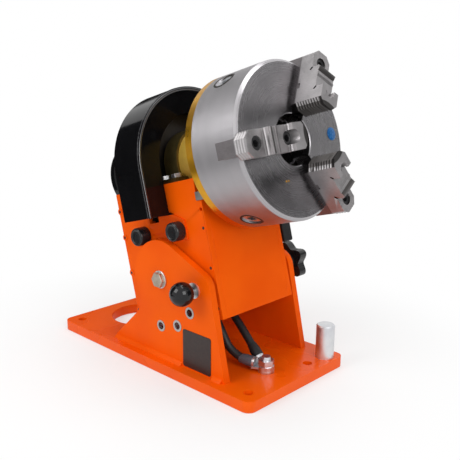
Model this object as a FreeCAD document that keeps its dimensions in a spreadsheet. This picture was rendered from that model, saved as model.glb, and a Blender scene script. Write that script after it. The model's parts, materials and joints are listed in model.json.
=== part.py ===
"""Bench welding positioner: a tilting head on a welded base, with a hollow spindle,
a gear drive under a round guard, and a chuck with three stepped jaws.

The origin is the centre of the underside of the base plate. +X points to the chuck,
+Z up, and the plate with the locking plunger is on the -Y side. Lengths are in
millimetres. The head is modelled level in its own frame, with the tilt axis at its
origin, and is then placed on the tilt axis at the angle that it rests at.
"""
import FreeCAD, Part
import math
import os
import Sketcher

V = FreeCAD.Vector
doc = FreeCAD.newDocument("welding_positioner")

# Driving sizes
SIZES = [
    ("base_length", 400, "base plate, along X"),
    ("base_width", 200, "base plate, along Y"),
    ("base_thickness", 15, "base plate, height"),
    ("base_corner", 12, "radius of the base plate's corners"),
    ("bolt_x", 20.5, "floor bolt holes, from the ends"),
    ("bolt_y", 21, "floor bolt holes, from the sides"),
    ("bolt_inner_y", 58.6, "front far floor bolt hole, from the side"),
    ("bolt_radius", 6.5, "floor bolt holes"),
    ("work_hole_x", 69, "hole under the upright spindle, from the rear end"),
    ("work_hole_radius", 47.5, "hole under the upright spindle"),
    ("post_radius", 12.9, "ground post"),
    ("post_height", 48, "ground post, above the base plate"),
    ("post_x", 17, "ground post, from the front end"),
    ("post_y", 24, "ground post, from the far side"),
    ("plate_inside", 4, "side plates, inner face from the head"),
    ("plate_thickness", 10, "side plates"),
    ("plate_front", 143.2, "side plates, foot of the front edge"),
    ("plate_rear", 86, "side plates, foot of the rear edge"),
    ("plate_waist_x", 24, "side plates, rear edge above the foot"),
    ("plate_waist_z", 74.7, "side plates, top of the sloping foot"),
    ("shoulder_x", 113.4, "side plates, front shoulder"),
    ("shoulder_z", 147.1, "side plates, front shoulder height"),
    ("shoulder_radius", 22, "side plates, rounding of the shoulder"),
    ("waist_radius", 25, "side plates, rounding of the waist"),
    ("pivot_x", 21, "tilt axis, from the middle"),
    ("pivot_z", 128, "tilt axis, height"),
    ("pivot_head_radius", 54, "side plates, rounding about the tilt axis"),
    ("pivot_radius", 8, "pivot bolt"),
    ("pivot_flats", 24, "pivot bolt head, across flats"),
    ("pivot_washer", 15, "pivot washers, radius"),
    ("running", 0.05, "radial clearance of a shaft in its bore"),
    ("index_radius", 67, "index holes, from the tilt axis"),
    ("bush_radius", 8, "index bushes, outside"),
    ("pin_radius", 5, "locking plunger"),
    ("pin_travel", 6, "locking plunger, how far it goes in"),
    ("pin_rest", 0.5, "locking plunger, gap to the head when withdrawn"),
    ("sleeve_radius", 10.4, "plunger sleeve collar"),
    ("sleeve_collar", 2.5, "plunger sleeve collar, beyond the plate"),
    ("knob_radius", 16, "ball knob"),
    ("knob_flat", 13, "ball knob, flat from its centre"),
    ("plaque_size", 52.5, "square plaque on the side plate"),
    ("plaque_x", 66, "plaque, rear edge"),
    ("plaque_z", 17, "plaque, lower edge"),
    ("tilt_degrees", 15, "angle of the head at rest"),
    ("head_half", 70, "head, outer face of a wall from the middle"),
    ("head_wall", 8, "head walls"),
    ("head_front", 94, "head, front face from the tilt axis"),
    ("head_rear", 83, "head, rear face from the tilt axis"),
    ("head_bottom", 60, "head, lower edge below the tilt axis"),
    ("head_top", 22.7, "head, upper edge below the spindle axis"),
    ("head_step", 96, "head, top of the front panel"),
    ("front_panel", 10, "front panel"),
    ("rear_panel", 6, "rear panel"),
    ("spindle_height", 147.7, "spindle axis above the tilt axis"),
    ("spindle_radius", 30, "spindle, outside"),
    ("spindle_bore", 25, "spindle, through bore radius"),
    ("spindle_rear", 110, "rear end of the spindle"),
    ("cartridge_radius", 45, "bearing cartridge, outside"),
    ("cartridge_bore", 39, "bearing cartridge, inside"),
    ("cartridge_rear", 8, "bearing cartridge, rear end"),
    ("bearing_width", 20, "bearings"),
    ("strap_thickness", 3.5, "strap over the cartridge"),
    ("backplate_rear", 113.5, "backplate, rear face"),
    ("backplate_thickness", 12.7, "backplate"),
    ("chuck_radius", 100, "chuck"),
    ("chuck_depth", 75, "chuck"),
    ("chuck_bore", 32.5, "chuck, through bore radius"),
    ("collar_radius", 55, "rear collar"),
    ("collar_width", 12, "rear collar"),
    ("tooth_module", 2, "gear teeth, module"),
    ("gear_teeth", 96, "spindle gear, teeth"),
    ("pinion_teeth", 12, "pinion, teeth"),
    ("gear_width", 16, "spindle gear"),
    ("gear_rear", 12, "spindle gear, rear face behind the tilt axis"),
    ("guard_radius", 107.5, "gear guard, outside"),
    ("guard_sheet", 2.7, "gear guard, sheet"),
    ("guard_rear", 23, "gear guard, rear face"),
    ("guard_front", 31, "gear guard, front lip"),
    ("guard_foot", 84, "gear guard, foot above the tilt axis"),
    ("guard_opening", 1, "gear guard, front opening beyond the head"),
    ("scroll_pitch", 9, "chuck scroll, travel per turn"),
    ("jaw_half", 15.5, "top jaws, half width"),
    ("slide_half", 10, "base jaws, half width"),
    ("jaw_inner", 33, "top jaws, inner tip from the axis"),
    ("jaw_outer", 113, "top jaws, outer tip from the axis"),
    ("jaw_bevel", 7.5, "top jaws, bevels beside the tips"),
    ("riser_outer", 86, "top jaws, outer riser from the axis"),
    ("riser_inner", 57, "top jaws, inner riser from the axis"),
    ("slide_inner", 44, "base jaws, inner end from the axis"),
    ("slide_outer", 111, "base jaws, outer end from the axis"),
    ("jaw_seat", 7, "top jaws, underside above the chuck face"),
    ("jaw_high", 47, "top jaws, inner step above the chuck face"),
    ("jaw_middle", 36, "top jaws, middle step"),
    ("jaw_low", 26, "top jaws, outer step"),
    ("cable_radius", 5.5, "earth cables"),
    ("star_radius", 29, "clamp knob"),
]

sheet = doc.addObject("Spreadsheet::Sheet", "Sizes")
for number, (alias, value, note) in enumerate(SIZES, start=1):
    sheet.set(f"A{number}", note)
    sheet.set(f"B{number}", str(value))
    sheet.setAlias(f"B{number}", alias)
doc.recompute()


class Size:
    """A size with its number and the text that ties a property to the sheet."""

    def __init__(self, number, text):
        self.number = float(number)
        self.text = text

    def joined(self, other, sign, number):
        return Size(number, f"({self.text} {sign} {other.text})")

    def __add__(self, other):
        other = size(other)
        return self.joined(other, "+", self.number + other.number)

    def __sub__(self, other):
        other = size(other)
        return self.joined(other, "-", self.number - other.number)

    def __mul__(self, other):
        other = size(other)
        return self.joined(other, "*", self.number * other.number)

    def __truediv__(self, other):
        other = size(other)
        return self.joined(other, "/", self.number / other.number)

    def __radd__(self, other):
        return size(other) + self

    def __rsub__(self, other):
        return size(other) - self

    def __rmul__(self, other):
        return size(other) * self

    def __neg__(self):
        return Size(-self.number, f"(0 - {self.text})")

    def __float__(self):
        return self.number


def size(value):
    if isinstance(value, Size):
        return value
    return Size(value, f"({float(value):.6f})")


class Given:
    """The driving sizes by name."""


given = Given()
for alias, value, note in SIZES:
    setattr(given, alias, Size(sheet.get(alias), "Sizes." + alias))


def bind(thing, prop, value):
    value = size(value)
    setattr(thing, prop, value.number)
    if "Sizes." in value.text:
        thing.setExpression(prop, value.text)


# Frames
LEVEL = FreeCAD.Placement()
g = given
pivot = V(g.pivot_x.number, 0, g.pivot_z.number)
HEAD = FreeCAD.Placement(pivot, FreeCAD.Rotation(V(0, 1, 0), -g.tilt_degrees.number))
SPIN = HEAD * FreeCAD.Placement(V(0, 0, g.spindle_height.number), FreeCAD.Rotation())
FACE = g.backplate_rear + g.backplate_thickness + g.chuck_depth

PLANE_NORMAL = {"XY_Plane": V(0, 0, 1), "XZ_Plane": V(0, 1, 0), "YZ_Plane": V(1, 0, 0)}
ALONG = {
    "x": FreeCAD.Rotation(),
    "y": FreeCAD.Rotation(V(0, 0, 1), 90),
    "-y": FreeCAD.Rotation(V(0, 0, 1), -90),
    "z": FreeCAD.Rotation(V(0, 1, 0), -90),
}
UPRIGHT = {
    "x": FreeCAD.Rotation(V(0, 1, 0), 90),
    "y": FreeCAD.Rotation(V(1, 0, 0), -90),
    "-y": FreeCAD.Rotation(V(1, 0, 0), 90),
    "z": FreeCAD.Rotation(),
}
nodes = {}


def node(thing, name, place=None):
    """Names a finished piece and places it."""
    thing.Label = name
    if place is not None:
        thing.Placement = place
    nodes[name] = thing
    return thing


# Sketches
def new_sketch(body, role, name):
    sketch = body.newObject("Sketcher::SketchObject", name)
    plane = [part for part in body.Origin.OriginFeatures if part.Role == role][0]
    sketch.AttachmentSupport = [(plane, "")]
    sketch.MapMode = "FlatFace"
    return sketch


def fix_points(sketch, points):
    """Ties points, given as (geometry, position, across, up), to the sketch's origin."""
    limits = []
    texts = []
    for shape, spot, across, up in points:
        for kind, value in (("DistanceX", across), ("DistanceY", up)):
            value = size(value)
            limits.append(Sketcher.Constraint(kind, -1, 1, shape, spot, value.number))
            texts.append(value.text)
    first = sketch.ConstraintCount
    sketch.addConstraint(limits)
    for step, text in enumerate(texts):
        if "Sizes." in text:
            sketch.setExpression(f"Constraints[{first + step}]", text)


def polygon_sketch(body, role, points, name):
    sketch = new_sketch(body, role, name)
    corners = [V(size(across).number, size(up).number, 0) for across, up in points]
    count = len(corners)
    lines = [Part.LineSegment(corners[i], corners[(i + 1) % count]) for i in range(count)]
    sketch.addGeometry(lines)
    joins = [Sketcher.Constraint("Coincident", i, 2, (i + 1) % count, 1) for i in range(count)]
    sketch.addConstraint(joins)
    fix_points(sketch, [(i, 1, across, up) for i, (across, up) in enumerate(points)])
    return sketch


def circle_sketch(body, role, circles, name):
    sketch = new_sketch(body, role, name)
    for across, up, radius in circles:
        centre = V(size(across).number, size(up).number, 0)
        shape = sketch.addGeometry(Part.Circle(centre, V(0, 0, 1), size(radius).number))
        fix_points(sketch, [(shape, 3, across, up)])
        radius = size(radius)
        limit = sketch.addConstraint(Sketcher.Constraint("Radius", shape, radius.number))
        if "Sizes." in radius.text:
            sketch.setExpression(f"Constraints[{limit}]", radius.text)
    return sketch


def extrude(body, sketch, length, name="Pad"):
    feature = body.newObject("PartDesign::Pad", name)
    feature.Profile = sketch
    feature.SideType = "Symmetric"
    bind(feature, "Length", length)
    return feature


def cut_through(body, sketch, name="Pocket"):
    feature = body.newObject("PartDesign::Pocket", name)
    feature.Profile = sketch
    feature.SideType = "Symmetric"
    feature.Type = "ThroughAll"
    return feature


def round_corners(body, role, corners, radius):
    """Rounds the corner edges that stand on the plane at the given points."""
    doc.recompute()
    tip = body.Tip
    normal = PLANE_NORMAL[role]
    wanted = [(size(across).number, size(up).number) for across, up in corners]
    names = []
    for number, edge in enumerate(tip.Shape.Edges, start=1):
        ends = [vertex.Point for vertex in edge.Vertexes]
        if len(ends) < 2 or abs((ends[1] - ends[0]).normalize() * normal) < 0.999:
            continue
        if role == "XY_Plane":
            spot = (ends[0].x, ends[0].y)
        elif role == "XZ_Plane":
            spot = (ends[0].x, ends[0].z)
        else:
            spot = (ends[0].y, ends[0].z)
        if any(math.dist(spot, corner) < 0.05 for corner in wanted):
            names.append(f"Edge{number}")
    fillet = body.newObject("PartDesign::Fillet", "Fillet")
    fillet.Base = (tip, names)
    bind(fillet, "Radius", radius)
    return fillet


def prism(name, role, points, low, high, holes=(), cuts=(), place=LEVEL):
    """A plate: an outline on a plane, made thick from low to high, with holes."""
    low = size(low)
    high = size(high)
    body = doc.addObject("PartDesign::Body", name)
    extrude(body, polygon_sketch(body, role, points, name + "_outline"), high - low)
    if holes:
        cut_through(body, circle_sketch(body, role, holes, name + "_holes"), "Holes")
    for outline in cuts:
        cut_through(body, polygon_sketch(body, role, outline, name + "_cut"), "Cut")
    middle = PLANE_NORMAL[role] * ((low.number + high.number) / 2)
    body.Placement = place * FreeCAD.Placement(middle, FreeCAD.Rotation())
    return body


def turned(name, points, at=V(0, 0, 0), axis="x", place=LEVEL, holes=()):
    """A turned piece: (distance along the axis, radius) points, and holes along it."""
    body = doc.addObject("PartDesign::Body", name)
    sketch = polygon_sketch(body, "XZ_Plane", points, name + "_profile")
    feature = body.newObject("PartDesign::Revolution", "Revolution")
    feature.Profile = sketch
    feature.ReferenceAxis = (sketch, ["H_Axis"])
    feature.Angle = 360
    if holes:
        cut_through(body, circle_sketch(body, "YZ_Plane", holes, name + "_holes"), "Holes")
    body.Placement = place * FreeCAD.Placement(at, ALONG[axis])
    return body


def rectangle(left, right, low, high):
    return [(left, low), (right, low), (right, high), (left, high)]


def ring(inner, outer, start, end):
    return [(start, inner), (end, inner), (end, outer), (start, outer)]


# Plain solids and how they are joined
def box(name, x_span, y_span, z_span):
    thing = doc.addObject("Part::Box", name)
    spans = [(size(low), size(high)) for low, high in (x_span, y_span, z_span)]
    for prop, (low, high) in zip(("Length", "Width", "Height"), spans):
        bind(thing, prop, high - low)
    thing.Placement = FreeCAD.Placement(V(*[low.number for low, high in spans]), FreeCAD.Rotation())
    return thing


def cylinder(name, radius, length, at, axis):
    thing = doc.addObject("Part::Cylinder", name)
    bind(thing, "Radius", radius)
    bind(thing, "Height", length)
    thing.Placement = FreeCAD.Placement(at, UPRIGHT[axis])
    return thing


def hexagon(name, flats, length, at, axis):
    thing = doc.addObject("Part::Prism", name)
    thing.Polygon = 6
    bind(thing, "Circumradius", size(flats) / (2 * math.cos(math.pi / 6)))
    bind(thing, "Height", length)
    thing.Placement = FreeCAD.Placement(at, UPRIGHT[axis])
    return thing


def fused(name, pieces):
    thing = doc.addObject("Part::MultiFuse", name)
    thing.Shapes = pieces
    return thing


def less(name, base, tool):
    thing = doc.addObject("Part::Cut", name)
    thing.Base = base
    thing.Tool = tool
    return thing


def together(name, pieces):
    thing = doc.addObject("Part::Compound", name)
    thing.Links = pieces
    return thing


def shaped(name, shape, place=LEVEL):
    thing = doc.addObject("Part::Feature", name)
    thing.Shape = shape
    thing.Placement = place
    return node(thing, name)


def polygon_solid(points, depth):
    """A solid from 3-D points of a flat outline, and the vector it is drawn along."""
    face = Part.Face(Part.makePolygon(points + [points[0]]))
    return face.extrude(depth)


# Base plate with its floor bolt holes and the large hole under the upright spindle
half_length = g.base_length / 2
half_width = g.base_width / 2
bolt_x = half_length - g.bolt_x
bolt_y = half_width - g.bolt_y
base_holes = [
    (-bolt_x, -bolt_y, g.bolt_radius),
    (-bolt_x, bolt_y, g.bolt_radius),
    (bolt_x, -bolt_y, g.bolt_radius),
    (bolt_x, half_width - g.bolt_inner_y, g.bolt_radius),
    (-half_length + g.work_hole_x, 2, g.work_hole_radius),
]
base_outline = rectangle(-half_length, half_length, -half_width, half_width)
base = prism("base_plate", "XY_Plane", base_outline, 0, g.base_thickness, base_holes)
round_corners(base, "XY_Plane", base_outline, g.base_corner)
node(base, "base_plate")

post_profile = [
    (0, 0),
    (0, g.post_radius),
    (g.post_height - 1.5, g.post_radius),
    (g.post_height, g.post_radius - 1.5),
    (g.post_height, 0),
]
post_at = V((half_length - g.post_x).number, (half_width - g.post_y).number, g.base_thickness.number)
node(turned("ground_post", post_profile, post_at, "z"), "ground_post")

# Side plates
shoulder = V(g.shoulder_x.number, g.shoulder_z.number, 0) - V(pivot.x, pivot.z, 0)
reach = shoulder.Length
tangent_turn = math.acos(g.pivot_head_radius.number / reach)
tangent_angle = math.atan2(shoulder.y, shoulder.x) + tangent_turn
waist_drop = math.sqrt(g.pivot_head_radius.number ** 2 - (g.plate_waist_x.number + pivot.x) ** 2)
plate_outline = [
    (g.plate_front, g.base_thickness),
    (g.shoulder_x, g.shoulder_z),
    (
        g.pivot_x + g.pivot_head_radius * math.cos(tangent_angle),
        g.pivot_z + g.pivot_head_radius * math.sin(tangent_angle),
    ),
    (g.pivot_x, g.pivot_z),
    (-g.plate_waist_x, g.pivot_z - waist_drop),
    (-g.plate_waist_x, g.plate_waist_z),
    (-g.plate_rear, g.base_thickness + 1),
    (-g.plate_rear, g.base_thickness),
]
index_spots = []
for degrees in (0, -30, -60, -90):
    turn = math.radians(degrees)
    across = g.pivot_x + g.index_radius * math.cos(turn)
    index_spots.append((across, g.pivot_z + g.index_radius * math.sin(turn)))
plate_inner = g.head_half + g.plate_inside
plate_outside = plate_inner + g.plate_thickness


def side_plate(name, side, holes):
    low, high = (-plate_outside, -plate_inner) if side < 0 else (plate_inner, plate_outside)
    body = prism(name + "_plate", "XZ_Plane", plate_outline, low, high)
    disc = [(g.pivot_x, g.pivot_z, g.pivot_head_radius)]
    extrude(body, circle_sketch(body, "XZ_Plane", disc, "disc"), g.plate_thickness, "Disc")
    round_corners(body, "XZ_Plane", [(g.shoulder_x, g.shoulder_z)], g.shoulder_radius)
    round_corners(body, "XZ_Plane", [(-g.plate_waist_x, g.plate_waist_z)], g.waist_radius)
    cut_through(body, circle_sketch(body, "XZ_Plane", holes, "holes"), "Holes")
    bead_outline = [
        (side * plate_outside, g.base_thickness),
        (side * (plate_outside + 5), g.base_thickness),
        (side * plate_outside, g.base_thickness + 5),
    ]
    plaque_end = g.plaque_x + g.plaque_size + 3
    rear_bead = prism(name + "_rear_weld", "YZ_Plane", bead_outline, -g.plate_rear + 4, g.plaque_x - 3)
    front_bead = prism(name + "_front_weld", "YZ_Plane", bead_outline, plaque_end, g.plate_front - 5)
    return node(fused(name, [body, rear_bead, front_bead]), name)


pivot_hole = (g.pivot_x, g.pivot_z, g.pivot_radius + g.running)
near_holes = [pivot_hole] + [(across, up, g.bush_radius) for across, up in index_spots]
side_plate("side_plate_near", -1, near_holes)
side_plate("side_plate_far", 1, [pivot_hole, (index_spots[0][0], index_spots[0][1], 6)])

bushes = []
for number, (across, up) in enumerate(index_spots[1:]):
    profile = ring(g.pin_radius + 0.1, g.bush_radius, plate_inner, plate_outside + 0.6)
    at = V(across.number, 0, up.number)
    bushes.append(turned(f"bush_{number}", profile, at, "-y"))
node(together("index_bushes", bushes), "index_bushes")

plunger_at = V(index_spots[0][0].number, 0, index_spots[0][1].number)
sleeve_profile = [
    (plate_inner, g.pin_radius + g.running),
    (plate_outside + g.sleeve_collar, g.pin_radius + g.running),
    (plate_outside + g.sleeve_collar, g.sleeve_radius),
    (plate_outside, g.sleeve_radius),
    (plate_outside, g.bush_radius),
    (plate_inner, g.bush_radius),
]
node(turned("plunger_sleeve", sleeve_profile, plunger_at, "-y"), "plunger_sleeve")

# Locking plunger with its ball knob, drawn out of the head at rest
knob_centre = plate_outside + g.sleeve_collar + g.pin_travel + 0.5 + g.knob_flat
pin_tip = g.head_half + g.pin_rest
pin_profile = [
    (pin_tip, 0),
    (pin_tip, g.pin_radius - 1),
    (pin_tip + 1, g.pin_radius),
    (knob_centre - g.knob_flat + 9, g.pin_radius),
    (knob_centre - g.knob_flat + 9, 0),
]
node(turned("plunger_pin", pin_profile, plunger_at, "-y"), "plunger_pin")
ball = doc.addObject("Part::Sphere", "knob_ball")
bind(ball, "Radius", g.knob_radius)
ball.Placement = FreeCAD.Placement(plunger_at + V(0, -knob_centre.number, 0), FreeCAD.Rotation())
flat_side = box(
    "knob_flat",
    (g.pivot_x, g.pivot_x + 2 * g.index_radius),
    (-knob_centre + g.knob_flat, -plate_inner),
    (g.pivot_z - 40, g.pivot_z + 40),
)
knob_bore = cylinder(
    "knob_bore",
    g.pin_radius,
    g.knob_flat + 9,
    plunger_at + V(0, -(knob_centre - g.knob_flat + 9).number, 0),
    "y",
)
node(less("ball_knob", ball, fused("knob_cut", [flat_side, knob_bore])), "ball_knob")

# Tilt pivot
washer_thick = 3
bolt_from = plate_outside + washer_thick
pivot_at = V(pivot.x, 0, pivot.z)
shank = cylinder(
    "pivot_shank",
    g.pivot_radius,
    bolt_from * 2 + 16,
    pivot_at + V(0, -bolt_from.number, 0),
    "y",
)
bolt_head = hexagon("pivot_head", g.pivot_flats, 10, pivot_at + V(0, -bolt_from.number, 0), "-y")
node(fused("pivot_bolt", [shank, bolt_head]), "pivot_bolt")
washer = ring(g.pivot_radius + g.running, g.pivot_washer, plate_outside, bolt_from)
nut_at = pivot_at + V(0, bolt_from.number, 0)
nut_bore = cylinder("nut_bore", g.pivot_radius + g.running, 20, nut_at - V(0, 2, 0), "y")
pivot_nut = less("pivot_nut", hexagon("nut_blank", g.pivot_flats, 13, nut_at, "y"), nut_bore)
washers = [turned("washer_near", washer, pivot_at, "-y"), turned("washer_far", washer, pivot_at, "y")]
node(together("pivot_nut_and_washers", washers + [pivot_nut]), "pivot_nut_and_washers")

# Bare plaque on the near plate
plaque_outline = rectangle(
    g.plaque_x, g.plaque_x + g.plaque_size, g.plaque_z, g.plaque_z + g.plaque_size
)
plaque = prism("name_plate", "XZ_Plane", plaque_outline, -plate_outside - 0.8, -plate_outside)
round_corners(plaque, "XZ_Plane", plaque_outline, 3)
node(plaque, "name_plate")

# Earth stud, lugs and the two cables up to the terminal on the pivot bolt
stud_at = V(155.7, -17.7, g.base_thickness.number)
stud_profile = [(0, 0), (0, 11), (4, 11), (4, 6), (22, 6), (22, 0)]
stud = turned("stud_shank", stud_profile, stud_at, "z")
stud_nut_blank = hexagon("stud_nut_blank", 19, 8, stud_at + V(0, 0, 9.2), "z")
node(fused("earth_stud", [stud, stud_nut_blank]), "earth_stud")


def route(points):
    """Straight runs joined by tangent arcs, as large as the runs allow."""
    edges = []
    start = points[0]
    for before, corner, after in zip(points, points[1:], points[2:]):
        back = (before - corner).normalize()
        ahead = (after - corner).normalize()
        shorter = min((before - corner).Length, (after - corner).Length)
        setback = 0.45 * shorter
        half_turn = (math.pi - back.getAngle(ahead)) / 2
        radius = setback / math.tan(half_turn)
        entry = corner + back * setback
        leave = corner + ahead * setback
        inward = (back + ahead).normalize()
        middle = corner + inward * (radius / math.cos(half_turn) - radius)
        edges.append(Part.LineSegment(start, entry).toShape())
        edges.append(Part.Arc(entry, middle, leave).toShape())
        print(f"cable bend radius {radius:.1f}")
        start = leave
    edges.append(Part.LineSegment(start, points[-1]).toShape())
    return Part.Wire(edges)


def tube(points, radius):
    path = route(points)
    first = (points[1] - points[0]).normalize()
    section = Part.Wire(Part.Circle(points[0], first, radius).toShape())
    solid = path.makePipeShell([section], True, False)
    ideal = math.pi * radius ** 2 * path.Length
    print(f"cable length {path.Length:.1f}, volume over section times length {solid.Volume / ideal:.4f}")
    return solid


terminal_turn = math.radians(-41.5)
outward = V(math.cos(terminal_turn), 0, math.sin(terminal_turn))
cable_r = g.cable_radius.number
front_start = V(139.8, -13.6, 29)
rear_start = V(141.5, -25.4, 26.4)
front_points = [front_start, V(88.5, -5, 69), pivot + outward * 14 + V(0, -7, 0)]
rear_points = [
    rear_start,
    V(122, -30, 27.5),
    V(104, -35, 38),
    V(90, -35.5, 60),
    V(62, -30, 88),
    pivot + outward * 14 + V(0, -26, 0),
]
front_tube = tube(front_points, cable_r)
rear_tube = tube(rear_points, cable_r)
shaped("cable_front", front_tube)
shaped("cable_rear", rear_tube)


def lug(root, run, level):
    """A ring lug: an eye round the stud, and a barrel round the end of the cable."""
    eye = Part.makeCylinder(11, 2.5, stud_at + V(0, 0, level))
    direction = (run - root).normalize()
    barrel = Part.makeCylinder(cable_r + 1.5, 15, root - direction * 2, direction)
    flat = (V(root.x, root.y, 0) - V(stud_at.x, stud_at.y, 0)).normalize()
    across = V(-flat.y, flat.x, 0) * 6
    low = V(stud_at.x, stud_at.y, stud_at.z + level)
    far = V(root.x, root.y, stud_at.z + level) + flat * 3
    tongue = polygon_solid([low - across, far - across, far + across, low + across], V(0, 0, 2.5))
    hole = Part.makeCylinder(6 + g.running.number, 60, V(stud_at.x, stud_at.y, 0))
    return eye.fuse([tongue, barrel]).cut([front_tube, rear_tube, hole]).removeSplitter()


lug_front = lug(front_start, front_points[1], 6.6)
lug_rear = lug(rear_start, rear_points[1], 4.1)
shaped("cable_lugs", Part.makeCompound([lug_front, lug_rear.cut(lug_front)]))

across_terminal = V(-outward.z, 0, outward.x)
terminal_corners = []
for along, side in ((0, -12), (32, -12), (32, 12), (0, 12)):
    spot = pivot + outward * along + across_terminal * side
    terminal_corners.append(V(spot.x, -36, spot.z))
terminal = polygon_solid(terminal_corners, V(0, 40, 0))
terminal_bore = Part.makeCylinder(g.pivot_radius.number + g.running.number, 60, pivot - V(0, 45, 0), V(0, 1, 0))
terminal_ring = Part.makeCylinder(12, 40, pivot - V(0, 36, 0), V(0, 1, 0))
terminal = terminal.fuse(terminal_ring).cut([terminal_bore, front_tube, rear_tube])
shaped("cable_clip", terminal)

# Head walls
head_top = g.spindle_height - g.head_top
gear_slot = (-g.gear_rear - 2, g.gear_width - g.gear_rear + 2)
slot_foot = 66
wall_outline = [
    (-g.head_rear, -g.head_bottom),
    (g.head_front, -g.head_bottom),
    (g.head_front, g.head_step),
    (g.head_front - 8, g.head_step),
    (g.head_front - 8, head_top),
    (gear_slot[1], head_top),
    (gear_slot[1], slot_foot),
    (gear_slot[0], slot_foot),
    (gear_slot[0], head_top),
    (-g.head_rear, head_top),
]
head_inside = g.head_half - g.head_wall
bush_seat = g.pivot_radius + 3
knob_spots = [(-32.5, 61), (44, 61)]
wall_holes = [(0, 0, bush_seat), (g.head_front - 4.5, 84.3, 2.5)]
near_wall_holes = list(wall_holes) + [(-8, 50, 4)]
for degrees in (0, -15, -30, -45):
    turn = math.radians(degrees)
    across = g.index_radius * math.cos(turn)
    near_wall_holes.append((across, g.index_radius * math.sin(turn), g.pin_radius + 0.1))
for across, up in knob_spots:
    near_wall_holes.append((across, up, 4.05))
node(
    prism(
        "head_wall_near", "XZ_Plane", wall_outline, -g.head_half, -head_inside, near_wall_holes, (), HEAD
    ),
    "head_wall_near",
)
node(
    prism("head_wall_far", "XZ_Plane", wall_outline, head_inside, g.head_half, wall_holes, (), HEAD),
    "head_wall_far",
)

# Front and rear panels between the walls
front_outline = rectangle(-head_inside, head_inside, -g.head_bottom, g.head_step)
front = prism("front_panel", "YZ_Plane", front_outline, g.head_front - g.front_panel, g.head_front)
node(front, "front_panel", HEAD * front.Placement)
rear_outline = rectangle(-head_inside, head_inside, -g.head_bottom, g.spindle_height - 37.7)
rear = prism("rear_panel", "YZ_Plane", rear_outline, -g.head_rear, -g.head_rear + g.rear_panel)
node(rear, "rear_panel", HEAD * rear.Placement)

# Bushes in the head walls, with flanges that fill the gap to the side plates
flange_bush = [
    (head_inside, g.pivot_radius + g.running),
    (plate_inner - 0.1, g.pivot_radius + g.running),
    (plate_inner - 0.1, g.pivot_washer + 1),
    (g.head_half, g.pivot_washer + 1),
    (g.head_half, bush_seat),
    (head_inside, bush_seat),
]
head_bushes = [turned("bush_near", flange_bush, V(0, 0, 0), "-y"), turned("bush_far", flange_bush, V(0, 0, 0), "y")]
node(together("pivot_bushes", head_bushes), "pivot_bushes", HEAD)

# Screws that hold the panels to the walls
screws = []
screw_spots = [(g.head_front - 5, 60), (g.head_front - 5, 8), (g.head_front - 5, -45)]
screw_spots += [(-g.head_rear + 3, level) for level in (100, 62, 10, -45)]
for number, (across, up) in enumerate(screw_spots):
    for side, axis in ((-1, "-y"), (1, "y")):
        at = V(size(across).number, side * g.head_half.number, up)
        screws.append(cylinder(f"screw_{number}_{axis}", 4.5, 0.8, at, axis))
node(together("panel_screws", screws), "panel_screws", HEAD)

# Saddles, cartridge and strap that carry the spindle
saddle_cut = [(0, g.spindle_height, g.cartridge_radius)]
rear_saddle_x = (g.gear_width - g.gear_rear + 2, 46)
front_saddle_x = (68, g.head_front - g.front_panel)
saddles = (("saddle_rear", rear_saddle_x, head_top), ("saddle_front", front_saddle_x, head_top - 3))
for name, (start, end), top in saddles:
    saddle = prism(name, "YZ_Plane", rectangle(-head_inside, head_inside, 85, top), start, end, saddle_cut)
    node(saddle, name, HEAD * saddle.Placement)

cartridge_front = g.backplate_rear - 0.5
cartridge_profile = ring(g.cartridge_bore, g.cartridge_radius, g.cartridge_rear, cartridge_front)
node(turned("bearing_cartridge", cartridge_profile, V(0, 0, 0), "x", SPIN), "bearing_cartridge")
bearing_inner = g.spindle_radius + g.running
bearing_rings = []
for number, start in enumerate((g.cartridge_rear, cartridge_front - g.bearing_width - 2)):
    profile = ring(bearing_inner, g.cartridge_bore, start, start + g.bearing_width)
    bearing_rings.append(turned(f"bearing_{number}", profile))
node(together("bearings", bearing_rings), "bearings", SPIN)

strap_outside = g.cartridge_radius + g.strap_thickness
strap_ring = turned("strap_ring", ring(g.cartridge_radius, strap_outside, 10, 37))
strap_drop = g.spindle_height - head_top
strap_below = box("strap_below", (0, 60), (-80, 80), (-100, -strap_drop))
strap_arch = less("strap_arch", strap_ring, strap_below)
strap_feet = []
for side in (-1, 1):
    span = (39, head_inside) if side > 0 else (-head_inside, -39)
    strap_feet.append(box(f"strap_foot_{side}", (rear_saddle_x[0], 46), span, (-strap_drop, -strap_drop + 6)))
foot_trim = cylinder("strap_trim", g.cartridge_radius, 60, V(0, 0, 0), "x")
strap_base = less("strap_base", fused("strap_feet", strap_feet), foot_trim)
node(fused("bearing_strap", [strap_arch, strap_base]), "bearing_strap", SPIN)
strap_bolts = []
for across in (14, 38):
    for side in (-1, 1):
        at = V(across, side * (head_inside - 8).number, head_top.number + 6)
        strap_bolts.append(hexagon(f"strap_bolt_{across}_{side}", 13, 5.5, at, "z"))
node(together("strap_bolts", strap_bolts), "strap_bolts", HEAD)

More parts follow.
